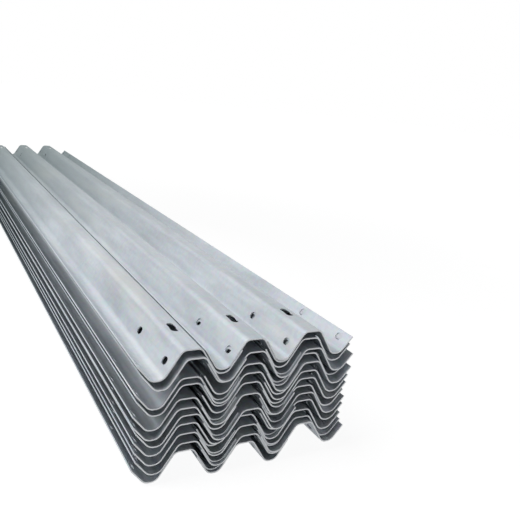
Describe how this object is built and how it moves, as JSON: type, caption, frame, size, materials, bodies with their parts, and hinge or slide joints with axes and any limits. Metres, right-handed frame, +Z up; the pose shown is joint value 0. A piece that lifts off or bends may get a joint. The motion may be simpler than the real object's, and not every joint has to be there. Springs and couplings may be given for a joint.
{
  "type": "stack of highway guardrail rails",
  "caption": "Loose stack of two-wave highway guardrail rails, laid face down in three overlapping columns, with splice and post slots at the rails' ends.",
  "frame": {"origin": "on the floor, under the middle of the stack's box", "axes": "+X across the rails, from the left column to the right, +Y along the rails, +Z up"},
  "size_m": [0.716, 4.342, 0.4291],
  "materials": {
    "galvanised_steel": "hot-dip galvanised, weathered to a soft blotched grey, with bright cut edges"
  },
  "bodies": {
    "root": {"left_rail_01": "galvanised_steel", "left_rail_02": "galvanised_steel", "left_rail_03": "galvanised_steel", "left_rail_04": "galvanised_steel", "left_rail_05": "galvanised_steel", "left_rail_06": "galvanised_steel", "left_rail_07": "galvanised_steel", "left_rail_08": "galvanised_steel", "left_rail_09": "galvanised_steel", "left_rail_10": "galvanised_steel", "left_rail_11": "galvanised_steel", "middle_rail_01": "galvanised_steel", "middle_rail_02": "galvanised_steel", "middle_rail_03": "galvanised_steel", "middle_rail_04": "galvanised_steel", "middle_rail_05": "galvanised_steel", "middle_rail_06": "galvanised_steel", "middle_rail_07": "galvanised_steel", "middle_rail_08": "galvanised_steel", "middle_rail_09": "galvanised_steel", "middle_rail_10": "galvanised_steel", "middle_rail_11": "galvanised_steel", "right_rail_01": "galvanised_steel", "right_rail_02": "galvanised_steel", "right_rail_03": "galvanised_steel", "right_rail_04": "galvanised_steel", "right_rail_05": "galvanised_steel", "right_rail_06": "galvanised_steel", "right_rail_07": "galvanised_steel", "right_rail_08": "galvanised_steel", "right_rail_09": "galvanised_steel", "right_rail_10": "galvanised_steel", "right_rail_11": "galvanised_steel", "right_rail_12": "galvanised_steel", "right_rail_13": "galvanised_steel"}
  },
  "joints": []
}
